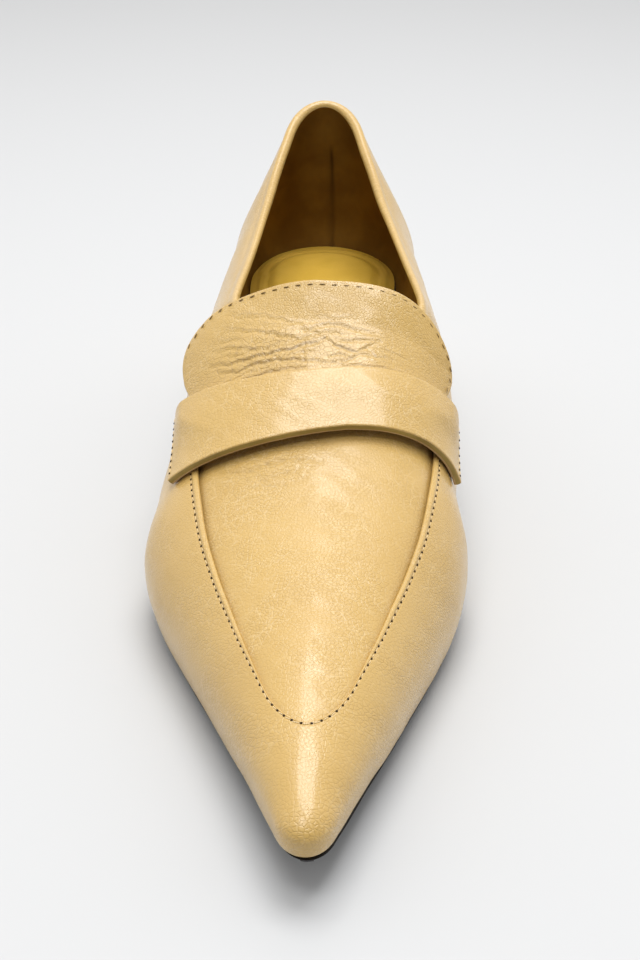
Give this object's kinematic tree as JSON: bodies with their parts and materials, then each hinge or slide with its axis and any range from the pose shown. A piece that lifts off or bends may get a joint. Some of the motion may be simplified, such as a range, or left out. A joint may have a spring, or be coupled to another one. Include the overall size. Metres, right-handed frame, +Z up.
{
  "type": "pointed heeled loafer",
  "caption": "Right-foot women's pointed-toe loafer in butter-yellow grained leather with a flared tongue, a saddle strap, a V-shaped apron seam and a low covered heel.",
  "frame": {"origin": "centre of the bounding box at floor level, where the sole's tread and the heel's top piece stand", "axes": "+Z up, the toe points to -Y and the heel to +Y, +X is the medial side of this right shoe"},
  "size_m": [0.0823, 0.265, 0.0938],
  "materials": {
    "yellow_leather": "fine drum grain with a soft sheen",
    "sock_leather": "smooth golden sock leather",
    "dark_sole": "dark brown-black sole edge",
    "heel_rubber": "matt black rubber"
  },
  "bodies": {
    "root": {"upper": "yellow_leather", "tongue": "yellow_leather", "saddle_strap": "yellow_leather", "insole": "sock_leather", "outsole": "dark_sole", "heel": "yellow_leather", "top_piece": "heel_rubber"}
  },
  "joints": []
}
